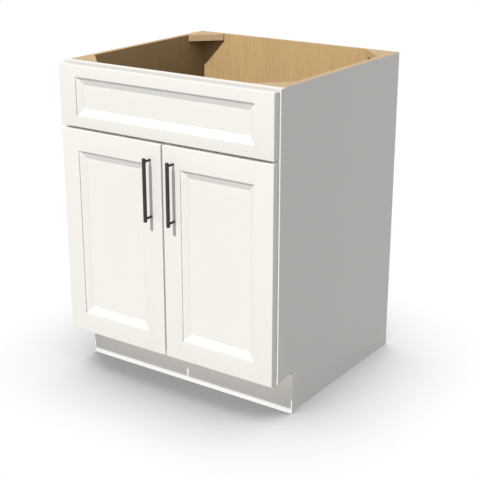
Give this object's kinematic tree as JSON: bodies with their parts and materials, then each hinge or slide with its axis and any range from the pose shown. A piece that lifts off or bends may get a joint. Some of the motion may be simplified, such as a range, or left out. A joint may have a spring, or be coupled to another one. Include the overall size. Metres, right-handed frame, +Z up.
{
  "type": "sink base cabinet",
  "caption": "Framed kitchen base cabinet with an open top for a sink, a fixed false front above a pair of recessed-panel doors on cup hinges, black bar pulls and a toe space.",
  "frame": {"origin": "on the floor, at the middle of the overall width and depth", "axes": "+Z up, +X to the right seen from the front, the doors face -Y"},
  "size_m": [0.6858, 0.6632, 0.8763],
  "materials": {
    "white_paint": "satin white paint",
    "white_plywood": "white outside, clear-coated maple veneer inside",
    "maple_plywood": "clear-coated maple veneer",
    "raw_plywood": "raw plywood",
    "black_metal": "satin black",
    "nickel_steel": "nickel plated",
    "bumper_rubber": "translucent soft pad"
  },
  "bodies": {
    "cabinet": {"side_panel_left": "white_plywood", "side_panel_right": "white_plywood", "bottom_panel": "maple_plywood", "back_panel": "maple_plywood", "toe_board": "raw_plywood", "toe_skin": "white_paint", "corner_block_front_left": "maple_plywood", "corner_block_rear_left": "maple_plywood", "corner_block_front_right": "maple_plywood", "corner_block_rear_right": "maple_plywood", "frame_stile_left": "white_paint", "frame_stile_right": "white_paint", "frame_rail_top": "white_paint", "frame_rail_middle": "white_paint", "frame_rail_bottom": "white_paint", "false_stile_left": "white_paint", "false_stile_right": "white_paint", "false_rail_top": "white_paint", "false_rail_bottom": "white_paint", "false_panel": "white_paint", "false_front_screws": "nickel_steel", "false_front_bumpers": "bumper_rubber", "left_hinge_arms": "nickel_steel", "left_arm_screws": "nickel_steel", "right_hinge_arms": "nickel_steel", "right_arm_screws": "nickel_steel"},
    "left_door": {"left_door_hinge_stile": "white_paint", "left_door_pull_stile": "white_paint", "left_door_rail_top": "white_paint", "left_door_rail_bottom": "white_paint", "left_door_panel": "white_paint", "left_door_bumpers": "bumper_rubber", "left_pull_bar": "black_metal", "left_pull_posts": "black_metal", "left_pull_screws": "nickel_steel", "left_hinge_cups": "nickel_steel", "left_hinge_pins": "nickel_steel", "left_cup_screws": "nickel_steel"},
    "right_door": {"right_door_hinge_stile": "white_paint", "right_door_pull_stile": "white_paint", "right_door_rail_top": "white_paint", "right_door_rail_bottom": "white_paint", "right_door_panel": "white_paint", "right_door_bumpers": "bumper_rubber", "right_pull_bar": "black_metal", "right_pull_posts": "black_metal", "right_pull_screws": "nickel_steel", "right_hinge_cups": "nickel_steel", "right_hinge_pins": "nickel_steel", "right_cup_screws": "nickel_steel"}
  },
  "joints": [
    {"name": "left_door_hinge", "type": "hinge", "parent": "cabinet", "child": "left_door", "pos_m": [-0.3325, -0.2904, 0.4062], "axis": [0, 0, -1], "range_deg": [0, 100]},
    {"name": "right_door_hinge", "type": "hinge", "parent": "cabinet", "child": "right_door", "pos_m": [0.3325, -0.2904, 0.4062], "axis": [0, 0, 1], "range_deg": [0, 100]}
  ]
}
